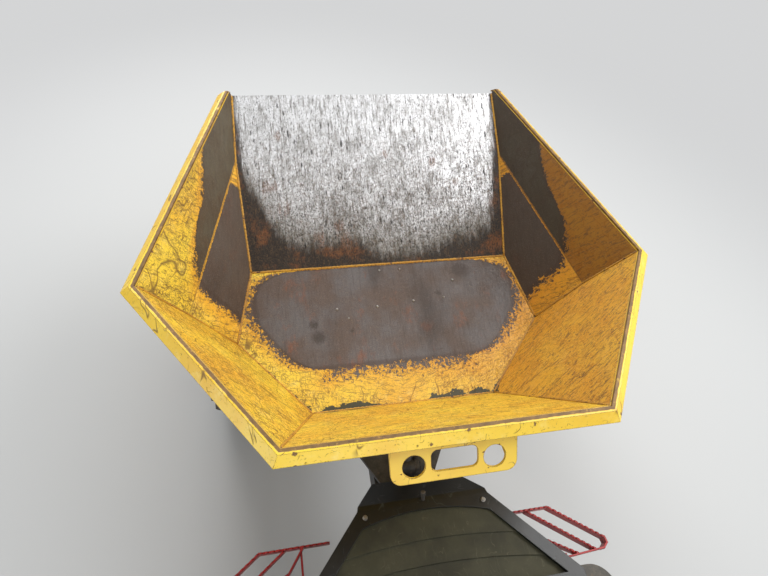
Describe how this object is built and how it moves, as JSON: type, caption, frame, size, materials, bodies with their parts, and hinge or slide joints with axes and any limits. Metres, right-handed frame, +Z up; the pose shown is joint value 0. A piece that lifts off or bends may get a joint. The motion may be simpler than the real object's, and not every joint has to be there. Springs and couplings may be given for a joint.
{
  "type": "articulated site dumper with a swivel skip",
  "caption": "Articulated ride-on site dumper: open steel skip that swivels and tips, four lugged tyres, centre-pivot steering, folding roll bar.",
  "frame": {"origin": "on the ground below the middle of the machine's length and width", "axes": "+X right, +Y forward, towards the skip, +Z up"},
  "size_m": [1.748, 3.311, 2.4793],
  "materials": {
    "skip_paint": "worn",
    "worn_steel": "worn",
    "chassis_paint": "satin",
    "hood_paint": "satin",
    "red_paint": "worn",
    "ram_paint": "satin",
    "rim_paint": "worn",
    "bright_steel": "satin",
    "chrome_rod": "polished",
    "cast_iron": "rough",
    "tyre": "matte",
    "black_plastic": "satin",
    "olive_plastic": "matte",
    "seat_vinyl": "satin",
    "lamp_red": "gloss"
  },
  "bodies": {
    "rear_frame": {"rear_chassis": "chassis_paint", "rear_axle": "chassis_paint", "footplate": "chassis_paint", "mudguard_right": "black_plastic", "mudguard_left": "black_plastic", "step_right": "red_paint", "step_left": "red_paint", "cowl_frame": "black_plastic", "cowl_panel": "olive_plastic", "cowl_wall": "chassis_paint", "console": "black_plastic", "steering_column": "black_plastic", "levers": "black_plastic", "pedals": "chassis_paint", "seat_plinth": "chassis_paint", "seat_cushion": "seat_vinyl", "seat_back": "seat_vinyl", "firewall": "chassis_paint", "engine_block": "cast_iron", "counterweight": "chassis_paint", "tow_pin": "bright_steel", "rear_lamps": "lamp_red", "fuel_tank": "black_plastic", "hydraulic_tank": "chassis_paint", "rops_posts": "chassis_paint"},
    "front_frame": {"front_chassis": "chassis_paint", "centre_pin": "bright_steel", "slew_ring": "cast_iron", "slew_motor": "ram_paint", "front_axle": "chassis_paint"},
    "swivel": {"swivel_frame": "chassis_paint", "tip_pins": "bright_steel"},
    "skip": {"skip_side_right": "skip_paint", "skip_side_left": "skip_paint", "skip_corner_right": "skip_paint", "skip_corner_left": "skip_paint", "skip_rear": "skip_paint", "skip_floor": "worn_steel", "skip_front_plate": "worn_steel", "skip_rim": "skip_paint", "skip_bracket": "skip_paint", "skip_rails": "skip_paint"},
    "tip_barrel": {"tip_ram_barrel": "ram_paint"},
    "tip_rod": {"tip_ram_rod": "chrome_rod"},
    "steer_barrel": {"steer_ram_barrel": "ram_paint"},
    "steer_rod": {"steer_ram_rod": "chrome_rod"},
    "steering_wheel": {"steering_wheel": "black_plastic"},
    "hood": {"hood": "hood_paint"},
    "roll_bar": {"rops_hoop": "chassis_paint"},
    "wheel_front_left": {"tyre_front_left": "tyre", "rim_front_left": "rim_paint"},
    "wheel_front_right": {"tyre_front_right": "tyre", "rim_front_right": "rim_paint"},
    "wheel_rear_left": {"tyre_rear_left": "tyre", "rim_rear_left": "rim_paint"},
    "wheel_rear_right": {"tyre_rear_right": "tyre", "rim_rear_right": "rim_paint"}
  },
  "joints": [
    {"name": "centre_steer", "type": "hinge", "parent": "rear_frame", "child": "front_frame", "pos_m": [0, 0.1045, 0.498], "axis": [0, 0, 1], "range_deg": [-33, 33]},
    {"name": "skip_swivel", "type": "hinge", "parent": "front_frame", "child": "swivel", "pos_m": [0, 0.6945, 0.6], "axis": [0, 0, -1], "range_deg": [-90, 90]},
    {"name": "skip_tip", "type": "hinge", "parent": "swivel", "child": "skip", "pos_m": [0, 1.1145, 0.86], "axis": [-1, 0, 0], "range_deg": [0, 60]},
    {"name": "tip_ram_swing", "type": "hinge", "parent": "swivel", "child": "tip_barrel", "pos_m": [0, 0.2745, 0.674], "axis": [1, 0, 0], "range_deg": [0, 16.85]},
    {"name": "tip_ram_stroke", "type": "slide", "parent": "tip_barrel", "child": "tip_rod", "axis": [0, 0.9411, 0.338], "range_m": [0, 0.2959]},
    {"name": "steer_ram_swing", "type": "hinge", "parent": "rear_frame", "child": "steer_barrel", "pos_m": [0.185, -0.2955, 0.498], "axis": [0, 0, 1], "range_deg": [-5.85, 5.85]},
    {"name": "steer_ram_stroke", "type": "slide", "parent": "steer_barrel", "child": "steer_rod", "axis": [0, 1, 0], "range_m": [-0.1043, 0.1043]},
    {"name": "hood_hinge", "type": "hinge", "parent": "rear_frame", "child": "hood", "pos_m": [0, -1.0965, 0.999], "axis": [-1, 0, 0], "range_deg": [0, 60]},
    {"name": "roll_bar_fold", "type": "hinge", "parent": "rear_frame", "child": "roll_bar", "pos_m": [0.4, -1.0705, 1.48], "axis": [-1, 0, 0], "range_deg": [-100, 0]},
    {"name": "steering_wheel_turn", "type": "hinge", "parent": "rear_frame", "child": "steering_wheel", "pos_m": [0, -0.4255, 1.185], "axis": [0, -0.5299, 0.848], "continuous": true},
    {"name": "wheel_front_left_roll", "type": "hinge", "parent": "front_frame", "child": "wheel_front_left", "pos_m": [-0.617, 1.0945, 0.38], "axis": [-1, 0, 0], "continuous": true},
    {"name": "wheel_front_right_roll", "type": "hinge", "parent": "front_frame", "child": "wheel_front_right", "pos_m": [0.617, 1.0945, 0.38], "axis": [-1, 0, 0], "continuous": true},
    {"name": "wheel_rear_left_roll", "type": "hinge", "parent": "rear_frame", "child": "wheel_rear_left", "pos_m": [-0.617, -0.8355, 0.38], "axis": [-1, 0, 0], "continuous": true},
    {"name": "wheel_rear_right_roll", "type": "hinge", "parent": "rear_frame", "child": "wheel_rear_right", "pos_m": [0.617, -0.8355, 0.38], "axis": [-1, 0, 0], "continuous": true}
  ],
  "couplings": [
    {"joint": "tip_ram_swing", "follows": "skip_tip", "ratio": 0.27758},
    {"joint": "tip_ram_stroke", "follows": "skip_tip", "m_per_rad": 0.28162},
    {"joint": "steer_ram_swing", "follows": "centre_steer", "ratio": 0.17134},
    {"joint": "steer_ram_stroke", "follows": "centre_steer", "m_per_rad": 0.17935}
  ]
}
